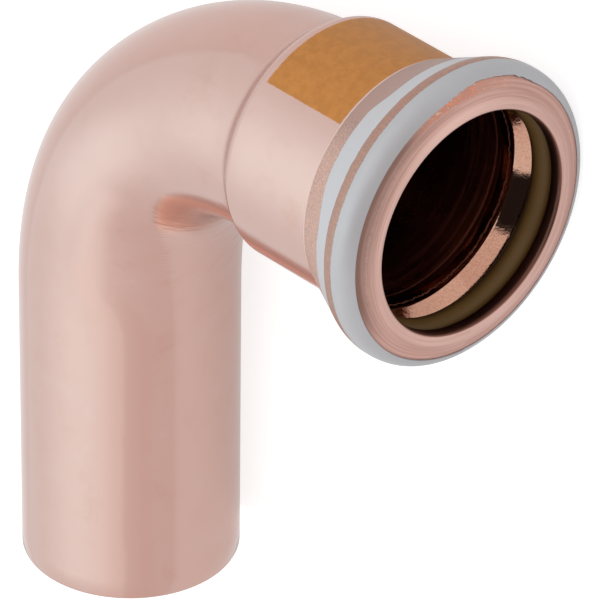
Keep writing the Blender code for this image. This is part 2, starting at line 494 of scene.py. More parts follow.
def clouded_copper(tree, tone):
    """The drawn tube's own colour, redder and paler in soft clouds."""
    copper = blend(tree, soft_step(tree, tone, *REDDER_TONES), COPPER_REDDER, COPPER)
    return blend(tree, soft_step(tree, tone, *PALER_TONES), copper, COPPER_PALER)


# Colours of painted highlight and painted shade on the drawn tube.
COPPER_PAINTED_HIGHLIGHT = (0.71, 0.485, 0.43, 1.0)
COPPER_SHADED = (0.588, 0.359, 0.306, 1.0)
COPPER_LIT = (0.64, 0.402, 0.343, 1.0)
PAINTED_LIGHT_SHARE = 0.85
BEND_HIGHLIGHT_LENGTHS = (45.0, 61.0, 6.0)
BEND_HIGHLIGHT_ANGLES = (69.9, 105.4, 13.75)
HIGHLIGHT_EDGE_ANGLE = 135.5
HIGHLIGHT_EDGE_TURNS = (((31.0, 40.0), 13.5), ((40.0, 52.0), 6.5))
HIGHLIGHT_EDGE_WAVE = 2.86
HIGHLIGHT_EDGE_BLURS = (1.95, 7.45)
BLUR_GROWS = (30.0, 44.0)
LIT_ANGLES = (-20.0, -8.0)
LIT_ENDS = (55.0, 51.0)
LIT_TO_BEND_HIGHLIGHT = (34.0, 51.0)
SHADED_ANGLES = (19.0, 9.0)
SHADED_ENDS = (42.0, 35.0)


def painted_highlight_and_shade(tree, place, length, around, copper):
    """Painted light on the drawn tube: a painted highlight, paler, up to a line along
    it, and painted shade, a little redder, past it. The palest painted highlight lies
    over the bend's crown side.

    The line runs straight on the leg and swings towards the crown in the bend.
    """
    # Painted highlight over the bend's crown side.
    bend_highlight = product(
        tree,
        band(tree, length, *BEND_HIGHLIGHT_LENGTHS),
        angle_band(tree, around, *BEND_HIGHLIGHT_ANGLES),
        PAINTED_LIGHT_SHARE,
    )
    copper = blend(tree, bend_highlight, copper, COPPER_PAINTED_HIGHLIGHT)
    # The painted highlight ends at this line, and painted shade lies past it.
    past_highlight_edge = math_step(tree, "SUBTRACT", around, math.radians(HIGHLIGHT_EDGE_ANGLE))
    for lengths, turn in HIGHLIGHT_EDGE_TURNS:
        swung = product(tree, soft_step(tree, length, *lengths), math.radians(turn))
        past_highlight_edge = math_step(tree, "ADD", past_highlight_edge, swung)
    wave = noise(tree, place, scale=0.22, detail=3.0, roughness=0.6)
    past_highlight_edge = unevenly(tree, past_highlight_edge, wave, math.radians(HIGHLIGHT_EDGE_WAVE))
    blurs = [math.radians(blur) for blur in HIGHLIGHT_EDGE_BLURS]
    blur = between(tree, soft_step(tree, length, *BLUR_GROWS), *blurs)
    past = soft_step(tree, math_step(tree, "DIVIDE", past_highlight_edge, blur), -1.0, 1.0)
    # Painted highlight just before the line.
    lit = product(
        tree,
        angle_step(tree, past_highlight_edge, *LIT_ANGLES),
        opposite(tree, past),
        soft_step(tree, length, *LIT_ENDS),
        PAINTED_LIGHT_SHARE,
    )
    lit_copper = blend(tree, soft_step(tree, length, *LIT_TO_BEND_HIGHLIGHT), COPPER_LIT, COPPER_PAINTED_HIGHLIGHT)
    copper = blend(tree, lit, copper, lit_copper)
    # Painted shade just past the line.
    shaded = product(
        tree,
        past,
        angle_step(tree, past_highlight_edge, *SHADED_ANGLES),
        soft_step(tree, length, *SHADED_ENDS),
        PAINTED_LIGHT_SHARE,
    )
    return blend(tree, shaded, copper, COPPER_SHADED)


# Painted reflection and painted shade where the bend's hollow mirrors the copper beside it.
HOLLOW_PAINTED_REFLECTION = (0.60, 0.29, 0.195, 1.0)
HOLLOW_RIM_PAINTED_REFLECTION = (0.86, 0.485, 0.36, 1.0)
NECK_UNDERSIDE_PAINTED_REFLECTION = (0.92, 0.43, 0.29, 1.0)
HOLLOW_EDGE = 121.5
HOLLOW_EDGE_BLUR = (-2.0, 2.0)
HOLLOW_RIM = (2.3, 20.6)
HOLLOW_STARTS = (49.4, 53.0)
HOLLOW_SHARES = (0.70, 1.0)
HOLLOW_WIDE_FROM = 60.0
HOLLOW_NARROWS = 2.3
NECK_STARTS = (26.5, 28.5)
NECK_HIDDEN_ANGLES = (128.0, 150.0)


def painted_reflection_in_hollow(tree, tone, length, reach, around, copper):
    """The bend's hollow side and the neck beside it, in a deeper, warmer copper: painted
    reflection of the copper in itself, with painted shade.
    """
    before_wide = math_step(tree, "SUBTRACT", HOLLOW_WIDE_FROM, length)
    before_wide = math_step(tree, "MAXIMUM", before_wide, 0.0)
    narrower = product(tree, before_wide, math.radians(HOLLOW_NARROWS))
    past_edge = math_step(tree, "SUBTRACT", around, math.radians(HOLLOW_EDGE))
    past_edge = math_step(tree, "SUBTRACT", past_edge, narrower)
    on_neck = soft_step(tree, reach, *NECK_STARTS)
    hidden = product(tree, on_neck, angle_step(tree, around, *NECK_HIDDEN_ANGLES))
    share = product(
        tree,
        angle_step(tree, past_edge, *HOLLOW_EDGE_BLUR),
        soft_step(tree, length, *HOLLOW_STARTS),
        between(tree, tone, *HOLLOW_SHARES),
        opposite(tree, hidden),
    )
    deeper = angle_step(tree, past_edge, *HOLLOW_RIM)
    # Painted reflection, brighter at the hollow's rim and deeper inside it, and on the neck's
    # underside.
    colour = blend(tree, deeper, HOLLOW_RIM_PAINTED_REFLECTION, HOLLOW_PAINTED_REFLECTION)
    return blend(tree, share, copper, blend(tree, on_neck, colour, NECK_UNDERSIDE_PAINTED_REFLECTION))


LIP_COPPER = (0.58, 0.355, 0.30, 1.0)
LIP_COPPER_PALER = (0.69, 0.445, 0.39, 1.0)
LIP_PAINTED_HIGHLIGHT = (0.80, 0.53, 0.455, 1.0)
# Dark brown painted shade on the lip's rolled inner edge and on the lip's back inside.
ROLLED_EDGE_SHADE_BROWN = (0.17, 0.075, 0.055, 1.0)
LIP_STARTS = (46.9, 47.2)
LIP_LINE_TONES = (0.35, 0.65)
LIP_HIGHLIGHT_ANGLES = (-8.0, 38.0, 22.0)
LIP_HIGHLIGHT_RADII = (11.55, 12.70, 0.25)
LIP_HIGHLIGHT_SHARE = 0.75
ROLLED_EDGE_SHADE_RADII = (11.48, 11.36)


def lip_colour(tree, around, radius, turned_lines):
    """The lip is marked by fine turned lines, with a painted highlight on its inner part near the
    crown, and painted shade, dark brown, on its rolled inner edge.
    """
    lines = soft_step(tree, turned_lines, *LIP_LINE_TONES)
    colour = blend(tree, lines, LIP_COPPER, LIP_COPPER_PALER)
    # Painted highlight on the lip near the crown.
    lip_highlight_place = angle_band(tree, around, *LIP_HIGHLIGHT_ANGLES)
    pale = product(tree, lip_highlight_place, band(tree, radius, *LIP_HIGHLIGHT_RADII), LIP_HIGHLIGHT_SHARE)
    colour = blend(tree, pale, colour, LIP_PAINTED_HIGHLIGHT)
    # Painted shade on the rolled inner edge.
    return blend(tree, soft_step(tree, radius, *ROLLED_EDGE_SHADE_RADII), colour, ROLLED_EDGE_SHADE_BROWN)


# Brown stain with painted shade in the crease by the film.
CREASE_DIRT_AND_SHADE = (0.27, 0.16, 0.13, 1.0)
CREASE_RADII = (12.82, 13.25)
CREASE_DEEP_RADII = (13.20, 13.70)
CREASE_SHARES = (0.42, 0.90)
CREASE_ANGLES = (26.0, 118.0, 16.0)
SCUFFED_COPPER = (0.60, 0.32, 0.245, 1.0)
SCUFFED_ORANGE = (0.88, 0.33, 0.19, 1.0)
SCUFFED_PALE = (0.80, 0.55, 0.45, 1.0)
SCUFFED_RADII = (13.20, 13.50)
SCUFFED_ANGLES = (-26.0, 26.0, 10.0)
SCUFFED_FADES = (-20.0, 6.0)
SCUFFED_LEAST = 0.30
PALE_FLECKS = (0.44, 0.34)
ORANGE_FLECKS = (0.52, 0.60)
ORANGE_ANGLES = (2.0, 20.0, 8.0)
ORANGE_LEAST = 0.35
RADIUS_WAVE = 0.30


def crease_shade_and_scuffs(tree, place, around, radius, on_lip, copper):
    """The crease by the film is stained brown, with painted shade darkest next to the film, and
    its crown is scuffed in flecks.
    """
    spots = noise(tree, place, scale=3.0, detail=4.0, roughness=0.7)
    uneven_radius = unevenly(tree, radius, spots, RADIUS_WAVE)
    # Brown stain and painted shade in the crease, deeper towards the film's edge.
    crease_dirt_and_shade = product(
        tree,
        soft_step(tree, uneven_radius, *CREASE_RADII),
        on_lip,
        angle_band(tree, around, *CREASE_ANGLES),
        between(tree, soft_step(tree, radius, *CREASE_DEEP_RADII), *CREASE_SHARES),
    )
    copper = blend(tree, crease_dirt_and_shade, copper, CREASE_DIRT_AND_SHADE)
    scuffed = product(
        tree,
        angle_band(tree, around, *SCUFFED_ANGLES),
        soft_step(tree, uneven_radius, *SCUFFED_RADII),
        between(tree, angle_step(tree, around, *SCUFFED_FADES), SCUFFED_LEAST, 1.0),
    )
    copper = blend(tree, scuffed, copper, SCUFFED_COPPER)
    along = (1.0, 0.6, 0.6)
    scratches = noise(tree, place, scale=3.0, detail=4.0, roughness=0.7, stretch=along)
    pale_flecks = product(tree, scuffed, soft_step(tree, scratches, *PALE_FLECKS))
    copper = blend(tree, pale_flecks, copper, SCUFFED_PALE)
    orange_place = angle_band(tree, around, *ORANGE_ANGLES)
    orange_flecks = product(
        tree,
        scuffed,
        soft_step(tree, scratches, *ORANGE_FLECKS),
        between(tree, orange_place, ORANGE_LEAST, 1.0),
    )
    return blend(tree, orange_flecks, copper, SCUFFED_ORANGE)


OCHRE_PRINT = (0.50, 0.192, 0.030, 1.0)
OCHRE_PRINT_DARK = (0.43, 0.160, 0.020, 1.0)
INK_TONES = (0.35, 0.65)
PRINT_START = 28.6
PRINT_END = 38.6
PRINT_HALF_WIDTH = math.radians(40.0) * NECK_RADIUS
PRINT_END_BLUR = 0.05
PRINT_SIDE_BLUR = 0.06
PRINT_RAGGED = 0.11


def print_mask(tree, place, reach, around):
    """The ochre colour field over the crown of the neck, with slightly ragged edges."""
    ragged = noise(tree, place, scale=5.0, detail=3.0, roughness=0.7)
    reach = unevenly(tree, reach, ragged, PRINT_RAGGED)
    aside = product(tree, math_step(tree, "ABSOLUTE", around), NECK_RADIUS)
    aside = unevenly(tree, aside, ragged, PRINT_RAGGED)
    return product(
        tree,
        band(tree, reach, PRINT_START, PRINT_END, PRINT_END_BLUR),
        band(tree, aside, -PRINT_HALF_WIDTH, PRINT_HALF_WIDTH, PRINT_SIDE_BLUR),
    )


TUBE_ROUGHNESS = (0.12, 0.18)
STEP_ROUGHNESS = 0.30
STEP_ROUGH_REACHES = (STEP_FOOT - 0.4, STEP_SHOULDER - 0.8, 0.7)
LIP_ROUGHNESS = (0.30, 0.42)
CREASE_ROUGHNESS = 0.62
CREASE_ROUGH_RADII = (12.25, 12.65)
INK_ROUGHNESS = (0.42, 0.55)


def copper_roughness(tree, tone, reach, radius, on_lip, turned_lines):
    """Smooth along the tube, duller on the formed step and towards the crease."""
    on_tube = between(tree, tone, *TUBE_ROUGHNESS)
    on_tube = between(tree, band(tree, reach, *STEP_ROUGH_REACHES), on_tube, STEP_ROUGHNESS)
    lip = between(tree, turned_lines, *LIP_ROUGHNESS)
    lip = between(tree, soft_step(tree, radius, *CREASE_ROUGH_RADII), lip, CREASE_ROUGHNESS)
    return between(tree, on_lip, on_tube, lip)


GRAIN_HEIGHT = 0.0025 * MM
LIP_LINE_HEIGHT = 0.008 * MM
WRINKLE_HEIGHT = 0.08 * MM
PRINT_HEIGHT = 0.015 * MM
WRINKLED_LENGTHS = (39.0, 62.0, 4.0)
WRINKLED_ANGLES = (118.0, 150.0)


def bending_wrinkles(tree, place, length, around):
    """Shallow wrinkles on the inside of the bend, where the metal is pushed together."""
    wrinkles = noise(tree, place, scale=0.50, stretch=(1.5, 0.45, 0.45))
    from_crown = math_step(tree, "ABSOLUTE", around)
    pushed_together = band(tree, length, *WRINKLED_LENGTHS)
    return product(tree, wrinkles, pushed_together, angle_step(tree, from_crown, *WRINKLED_ANGLES))


def satin_copper():
    material, tree, shader = new_finish("satin_copper")
    place = straight_tube_place(tree)
    length = length_along(tree, place)
    reach = reach_along(tree, place)
    around = around_from_crown(tree, place)
    radius = radius_of(tree, place)
    grain = placed_grain(tree, place, grain=0.5, lines=0.3, mottle=0.9)
    tone = grain.outputs["Tone"]
    turned_lines = ring_marks(tree, (radius, 7.0), (around, 1.2), (reach, 5.0))
    on_lip = soft_step(tree, reach, *LIP_STARTS)
    copper = clouded_copper(tree, tone)
    copper = painted_highlight_and_shade(tree, place, length, around, copper)
    copper = painted_reflection_in_hollow(tree, tone, length, reach, around, copper)
    copper = blend(tree, on_lip, copper, lip_colour(tree, around, radius, turned_lines))
    copper = crease_shade_and_scuffs(tree, place, around, radius, on_lip, copper)
    printed = print_mask(tree, place, reach, around)
    ink_tone = noise(tree, place, scale=0.9, detail=4.0, roughness=0.65)
    ink = blend(tree, soft_step(tree, ink_tone, *INK_TONES), OCHRE_PRINT_DARK, OCHRE_PRINT)
    feed(tree, shader.inputs["Base Color"], blend(tree, printed, copper, ink))
    feed(tree, shader.inputs["Metallic"], opposite(tree, printed))
    rough = copper_roughness(tree, tone, reach, radius, on_lip, turned_lines)
    ink_rough = between(tree, ink_tone, *INK_ROUGHNESS)
    feed(tree, shader.inputs["Roughness"], between(tree, printed, rough, ink_rough))
    normal = raised(tree, grain.outputs["Height"], GRAIN_HEIGHT)
    normal = raised(tree, product(tree, turned_lines, on_lip), LIP_LINE_HEIGHT, normal)
    normal = raised(tree, bending_wrinkles(tree, place, length, around), WRINKLE_HEIGHT, normal)
    feed(tree, shader.inputs["Normal"], raised(tree, printed, PRINT_HEIGHT, normal))
    return material


# The bore's dull brown, darkened as painted shade deep in the tube.
BORE_BROWN = (0.20, 0.075, 0.045, 1.0)
BORE_BROWN_PALER = (0.34, 0.15, 0.10, 1.0)
BORE_MARKS = (0.46, 0.21, 0.145, 1.0)
BORE_MARK_TONES = (0.45, 0.65)
BORE_MARK_REACHES = (33.0, 38.0)
FLARE_COPPER = (0.50, 0.255, 0.175, 1.0)
FLARE_COPPER_PALER = (0.60, 0.33, 0.24, 1.0)
FLARE_TONES = (0.30, 0.70)
FLARE_REACHES = (39.0, 41.0)
# A thin paler ring deep in the bore: a painted highlight.
HIGHLIGHT_LINE_COPPER = (0.85, 0.34, 0.26, 1.0)
HIGHLIGHT_LINE_REACHES = (39.42, 39.60, 0.14)
# A ragged bright line at the flare's inner corner: a painted highlight.
CORNER_HIGHLIGHT_COPPER = (0.90, 0.42, 0.29, 1.0)
CORNER_HIGHLIGHT_REACHES = (41.10, 41.32, 0.06)
CORNER_HIGHLIGHT_JAG = 0.35
BEHIND_LIP_REACHES = (46.3, 46.5)
BORE_ROUGHNESS = (0.22, 0.34)
BORE_MARK_ROUGHNESS = 0.42
FLARE_ROUGHNESS = (0.03, 0.07)
BEHIND_LIP_ROUGHNESS = 0.30
PAINTED_LINES_ROUGHNESS = 0.52
BORE_GRAIN_HEIGHT = 0.003 * MM
CHATTER_HEIGHT = 0.014 * MM


def polished_bore():
    """The inside: bright in the flare, dull brown and dark deeper down, its brown darkened as
    painted shade. Thin paler lines by the flare are painted highlights, and the lip's back is
    painted shade.
    """
    material, tree, shader = new_finish("polished_bore")
    place = straight_tube_place(tree)
    reach = reach_along(tree, place)
    grain = placed_grain(tree, place, grain=0.4, lines=0.6, mottle=0.8)
    tone = grain.outputs["Tone"]
    chatter = noise(tree, place, scale=1.6, detail=4.0, roughness=0.65)
    turned_marks = ring_marks(tree, (reach, 1.4), (around_from_crown(tree, place), 0.8))
    marks = product(
        tree,
        soft_step(tree, turned_marks, *BORE_MARK_TONES),
        soft_step(tree, reach, *BORE_MARK_REACHES),
    )
    in_flare = soft_step(tree, reach, *FLARE_REACHES)
    shaded_behind_lip = soft_step(tree, reach, *BEHIND_LIP_REACHES)
    # Painted highlight ring in the bore.
    highlight_line = band(tree, reach, *HIGHLIGHT_LINE_REACHES)
    jagged = unevenly(tree, reach, chatter, CORNER_HIGHLIGHT_JAG)
    # Painted highlight along the flare's inner corner, ragged.
    corner_highlight = band(tree, jagged, *CORNER_HIGHLIGHT_REACHES)
    # Dull brown darkened as painted shade deep in the tube.
    dull = blend(tree, tone, BORE_BROWN, BORE_BROWN_PALER)
    dull = blend(tree, marks, dull, BORE_MARKS)
    fine = noise(tree, place, scale=4.5, detail=3.0, roughness=0.6)
    fine = soft_step(tree, fine, *FLARE_TONES)
    colour = blend(tree, in_flare, dull, blend(tree, fine, FLARE_COPPER, FLARE_COPPER_PALER))
    colour = blend(tree, highlight_line, colour, HIGHLIGHT_LINE_COPPER)
    # Painted shade on the lip's back, behind the seal.
    colour = blend(tree, shaded_behind_lip, colour, ROLLED_EDGE_SHADE_BROWN)
    feed(tree, shader.inputs["Base Color"], blend(tree, corner_highlight, colour, CORNER_HIGHLIGHT_COPPER))
    shader.inputs["Metallic"].default_value = 1.0
    dull_rough = between(tree, tone, *BORE_ROUGHNESS)
    dull_rough = between(tree, marks, dull_rough, BORE_MARK_ROUGHNESS)
    rough = between(tree, in_flare, dull_rough, between(tree, tone, *FLARE_ROUGHNESS))
    rough = between(tree, shaded_behind_lip, rough, BEHIND_LIP_ROUGHNESS)
    painted_lines = math_step(tree, "MAXIMUM", highlight_line, corner_highlight)
    feed(tree, shader.inputs["Roughness"], between(tree, painted_lines, rough, PAINTED_LINES_ROUGHNESS))
    normal = raised(tree, grain.outputs["Height"], BORE_GRAIN_HEIGHT)
    feed(tree, shader.inputs["Normal"], raised(tree, chatter, CHATTER_HEIGHT, normal))
    return material


outer_line = step_neck_and_bead() + softened(LIP_CORNERS, rounds=3)
body_outside = tube_sections(TUBE_RADIUS, CUT_EDGE_ROUND) + socket_sections(outer_line)
body_inside = socket_sections(groove_and_bore())
body_inside += reversed(tube_sections(TUBE_RADIUS - TUBE_WALL, -CUT_EDGE_ROUND))
copper_body = swept_skin("copper_body", body_outside, body_inside)
copper_body.data.materials.append(satin_copper())
copper_body.data.materials.append(polished_bore())
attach(copper_body, "root")
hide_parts("fitting_body")


# Seal ring
# An olive brown elastomer ring, moulded in one piece and pressed into the
# bead's groove. It lies close to the groove's rear, and its inner side shows.

SEAL_REACH = 45.05
SEAL_RADIUS = 12.22
SEAL_HALF_LENGTH = 1.30
SEAL_HALF_HEIGHT = 1.24
SEAL_OUTER_HEIGHT = 1.52
SEAL_POINTS = 40
SEAL_OLIVE = (0.094, 0.048, 0.012, 1.0)
SEAL_OLIVE_PALER = (0.122, 0.064, 0.017, 1.0)
# Painted shade on the seal's side towards the bore.
SEAL_PAINTED_SHADE = (0.040, 0.019, 0.006, 1.0)
SEAL_SHADE_REACHES = (45.5, 44.2)
SEAL_ROUGHNESS = (0.46, 0.58)
SEAL_SPECULAR = 0.25
SEAL_GRAIN_HEIGHT = 0.004 * MM


def seal_line():
    """The ring's round section, a little flatter on its inner side."""
    points = []
    for index in range(SEAL_POINTS):
        angle = 2.0 * math.pi * index / SEAL_POINTS
        height = (SEAL_OUTER_HEIGHT if angle < math.pi else SEAL_HALF_HEIGHT) * math.sin(angle)
        points.append((SEAL_REACH + SEAL_HALF_LENGTH * math.cos(angle), SEAL_RADIUS + height))
    return points


def seal_elastomer():
    material, tree, shader = new_finish("seal_elastomer")
    place = straight_tube_place(tree)
    round_ring = (1.0, 0.5, 0.5)
    bloom = noise(tree, place, scale=0.8, detail=4.0, roughness=0.6, stretch=round_ring)
    olive = blend(tree, bloom, SEAL_OLIVE, SEAL_OLIVE_PALER)
    # The seal's side towards the bore is darkened: painted shade.
    shaded_back = soft_step(tree, reach_along(tree, place), *SEAL_SHADE_REACHES)
    feed(tree, shader.inputs["Base Color"], blend(tree, shaded_back, olive, SEAL_PAINTED_SHADE))
    feed(tree, shader.inputs["Roughness"], between(tree, bloom, *SEAL_ROUGHNESS))
    shader.inputs["Specular IOR Level"].default_value = SEAL_SPECULAR
    grain = noise(tree, place, scale=7.0)
    feed(tree, shader.inputs["Normal"], raised(tree, grain, SEAL_GRAIN_HEIGHT))
    return material


RING_MERGE_DISTANCE = 0.0001


def turned_ring(name, line):
    """A closed section spun about the socket's axis, kept on the straight tube."""
    spun = bmesh.new()
    straight = spun.verts.layers.float_vector.new("straight_tube")
    corners = [spun.verts.new((radius, 0.0, reach)) for reach, radius in line]
    for index, corner in enumerate(corners):
        spun.edges.new((corner, corners[(index + 1) % len(corners)]))
    bmesh.ops.spin(
        spun,
        geom=list(spun.verts) + list(spun.edges),
        cent=(0.0, 0.0, 0.0),
        axis=(0.0, 0.0, 1.0),
        angle=2.0 * math.pi,
        steps=TUBE_SIDES,
        use_merge=True,
    )
    bmesh.ops.remove_doubles(spun, verts=spun.verts, dist=RING_MERGE_DISTANCE)
    bmesh.ops.recalc_face_normals(spun, faces=spun.faces)
    for corner in spun.verts:
        corner[straight] = (corner.co.z + REACH_TO_LENGTH, corner.co.x, corner.co.y)
    height = Matrix.Translation((0.0, 0.0, PLAIN_LEG + BEND_RADIUS))
    return finished_piece(name, spun, height @ Matrix.Rotation(math.radians(90.0), 4, "Y"))


seal = turned_ring("elastomer_seal", seal_line())
seal.data.materials.append(seal_elastomer())
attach(seal, "root")
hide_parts("seal_ring")


# Press indicator ring
# A thin clear plastic film, shrunk over the flare and the bead after forming.
# Two grey white bands are printed on it. It tears off once the joint is pressed.

FILM_REAR = 38.85
FILM_FRONT_ANGLE = 60.0
FILM_THICKNESS = 0.13
FILM_CLEARANCE = 0.03
FILM_REAR_CLEARANCE = 0.01
FILM_CONE_PLACES = 12


def moved_sideways(points, distance):
    """The line moved across its own direction, positive away from the axis."""
    moved = []
    for index, (reach, radius) in enumerate(points):
        before = points[max(index - 1, 0)]
        after = points[min(index + 1, len(points) - 1)]
        along = Vector((after[0] - before[0], after[1] - before[1])).normalized()
        moved.append((reach - along.y * distance, radius + along.x * distance))
    return moved


def film_line():
    """The film's section: a straight cone from the neck, then over the bead."""
    cone = math.asin((BEAD_ROUND + FILM_CLEARANCE) / (BEAD_REACH - FILM_REAR))
    rear = (FILM_REAR, NECK_RADIUS + FILM_REAR_CLEARANCE)
    touch = bead_point(-cone, -FILM_CLEARANCE)
    shares = [index / FILM_CONE_PLACES for index in range(FILM_CONE_PLACES)]
    under = [point_between(rear, touch, share) for share in shares]
    under += arc_over_bead(-math.degrees(cone), FILM_FRONT_ANGLE, -FILM_CLEARANCE)
    return under + list(reversed(moved_sideways(under, FILM_THICKNESS)))


REAR_BAND_STARTS = (41.34, 41.46)
REAR_BAND_ENDS = (44.36, 44.26)
FRONT_BAND_STARTS = (45.34, 45.46)
STRIPE_REACHES = (44.31, 45.40, 0.06)
BAND_WAVE = 0.125
BAND_JAG = 0.10
LATE_START = 0.9
LATE_START_ANGLES = ((70.0, 150.0, 12.0), (-40.0, 26.0, 8.0))


def printed_bands(tree, around, reach):
    """Where the two bands are printed, and the bare stripe between them."""
    late_places = [angle_band(tree, around, *angles) for angles in LATE_START_ANGLES]
    later = product(tree, math_step(tree, "MAXIMUM", *late_places), LATE_START)
    rear_start = soft_step(tree, math_step(tree, "SUBTRACT", reach, later), *REAR_BAND_STARTS)
    rear_band = product(tree, rear_start, soft_step(tree, reach, *REAR_BAND_ENDS))
    front_band = soft_step(tree, reach, *FRONT_BAND_STARTS)
    printed = math_step(tree, "MAXIMUM", rear_band, front_band)
    return printed, band(tree, reach, *STRIPE_REACHES)


TORN_FROM = (46.0, 46.1)
TORN_ANGLES = (-38.0, 16.0, 22.0)
TORN_RADII = (13.60, 14.50)
TORN_RAGGED = 0.175
TORN_BLUR = 0.03


def torn_front(tree, place, around):
    """The film's front edge is torn ragged, and further back on the crown."""
    at_crown = angle_band(tree, around, *TORN_ANGLES)
    edge_radius = between(tree, at_crown, *TORN_RADII)
    ragged = noise(tree, place, scale=1.2)
    edge_radius = unevenly(tree, edge_radius, ragged, TORN_RAGGED)
    inside_edge = math_step(tree, "SUBTRACT", edge_radius, radius_of(tree, place))
    in_front = soft_step(tree, reach_along(tree, place), *TORN_FROM)
    return product(tree, soft_step(tree, inside_edge, 0.0, TORN_BLUR), in_front)


FILM_GREY = (0.405, 0.405, 0.42, 1.0)
FILM_GREY_PALER = (0.465, 0.46, 0.475, 1.0)
FILM_FRONT_INK_AND_SHADE = (0.335, 0.315, 0.325, 1.0)
FILM_WHITE_INK_AND_LIGHT = (0.52, 0.525, 0.55, 1.0)
FRONT_SHADE_REACHES = (46.0, 47.4)
FRONT_SHADE_SHARES = (0.25, 0.85)
UPPER_SIDE_ANGLES = (18.0, 85.0, 20.0)
LIT_SIDE_ANGLES = (0.0, -50.0)
LIT_SIDE_SHARE = 0.75
REAR_WHITE_REACHES = (44.9, 44.7)


def band_grey(tree, around, reach, cloud):
    """The bands' ink, whiter at the rear and greyer in front, with painted shade greying the upper
    side over the bead and painted light whitening the lower side.
    """
    grey = blend(tree, cloud, FILM_GREY, FILM_GREY_PALER)
    # Painted shade on the upper side over the bead.
    upper_side = angle_band(tree, around, *UPPER_SIDE_ANGLES)
    shade = between(tree, upper_side, *FRONT_SHADE_SHARES)
    shade = product(tree, soft_step(tree, reach, *FRONT_SHADE_REACHES), shade)
    grey = blend(tree, shade, grey, FILM_FRONT_INK_AND_SHADE)
    # Painted light on the lower side.
    lit_lower_side = product(tree, angle_step(tree, around, *LIT_SIDE_ANGLES), LIT_SIDE_SHARE)
    grey = blend(tree, lit_lower_side, grey, FILM_WHITE_INK_AND_LIGHT)
    return blend(tree, soft_step(tree, reach, *REAR_WHITE_REACHES), grey, FILM_WHITE_INK_AND_LIGHT)


STRIPE_BROWN = (0.33, 0.20, 0.165, 1.0)
STRIPE_ORANGE = (0.46, 0.245, 0.18, 1.0)
STRIPE_TONES = (0.35, 0.65)
STRIPE_METALLIC = 0.6
CLEAR_TINT = (0.64, 0.43, 0.375, 1.0)
CLEAR_TINT_BROWN = (0.72, 0.44, 0.335, 1.0)
CLEAR_TINT_CROWN = (0.42, 0.265, 0.23, 1.0)
RIM_TINT = (0.70, 0.53, 0.48, 1.0)
CLEAR_SPECKS = (0.40, 0.62)
CLEAR_COVERS = (0.62, 0.84)
BROWN_CROWN_ANGLES = (58.0, 30.0)
BROWN_CROWN_COVER = 0.85
FILM_RIM_REACHES = (38.70, 38.98, 0.04)
FILM_ROUGHNESS = (0.34, 0.46)
FILM_CLOUD_HEIGHT = 0.012 * MM


def indicator_film():
    material, tree, shader = new_finish("indicator_film")
    place = straight_tube_place(tree)
    around = around_from_crown(tree, place)
    true_reach = reach_along(tree, place)
    uneven = noise(tree, place, scale=0.5, detail=3.0, roughness=0.6)
    fine = noise(tree, place, scale=4.5, detail=3.0, roughness=0.7)
    round_ring = (1.0, 0.4, 0.4)
    cloud = noise(tree, place, scale=0.7, detail=4.0, roughness=0.6, stretch=round_ring)
    specks = noise(tree, place, scale=5.0, detail=3.0, roughness=0.7)
    specks = soft_step(tree, specks, *CLEAR_SPECKS)
    reach = unevenly(tree, true_reach, uneven, BAND_WAVE)
    reach = unevenly(tree, reach, fine, BAND_JAG)
    printed, stripe = printed_bands(tree, around, reach)
    brown_crown = product(tree, angle_step(tree, around, *BROWN_CROWN_ANGLES), BROWN_CROWN_COVER)
    rim = band(tree, true_reach, *FILM_RIM_REACHES)
    cover = between(tree, specks, *CLEAR_COVERS)
    for covered in (brown_crown, rim, printed, stripe):
        cover = math_step(tree, "MAXIMUM", cover, covered)
    cover = product(tree, cover, opposite(tree, torn_front(tree, place, around)))
    feed(tree, shader.inputs["Alpha"], cover)
    tint = blend(tree, specks, CLEAR_TINT, CLEAR_TINT_BROWN)
    tint = blend(tree, brown_crown, tint, CLEAR_TINT_CROWN)
    tint = blend(tree, rim, tint, RIM_TINT)
    colour = blend(tree, printed, tint, band_grey(tree, around, reach, cloud))
    stripe_tone = soft_step(tree, fine, *STRIPE_TONES)
    stripe_copper = blend(tree, stripe_tone, STRIPE_BROWN, STRIPE_ORANGE)
    feed(tree, shader.inputs["Base Color"], blend(tree, stripe, colour, stripe_copper))
    feed(tree, shader.inputs["Metallic"], product(tree, stripe, STRIPE_METALLIC))
    feed(tree, shader.inputs["Roughness"], between(tree, uneven, *FILM_ROUGHNESS))
    feed(tree, shader.inputs["Normal"], raised(tree, cloud, FILM_CLOUD_HEIGHT))
    return material


film = turned_ring("indicator_film_ring", film_line())
film.data.materials.append(indicator_film())
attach(film, "root")
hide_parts("press_indicator_ring")


# Floor and studio
# A plain white table under a wide softbox, in a white room. The table and the
# room look white to the camera and in mirrored light, and shadows stay soft.

FLOOR_SIZE = 4.0
FLOOR_DROP = 0.05 * MM
FLOOR_WHITE = 0.50
FLOOR_GLOW_SEEN = 0.72
FLOOR_GLOW_MIRRORED = 0.42
WHITE = (1.0, 1.0, 1.0, 1.0)


def seen_and_mirrored(tree):
    """What the camera sees, and what a mirror or glass sees, each 1 or 0."""
    path = add_node(tree, "ShaderNodeLightPath")
    mirrored = (path.outputs["Is Glossy Ray"], path.outputs["Is Transmission Ray"])
    return path.outputs["Is Camera Ray"], math_step(tree, "MAXIMUM", *mirrored)


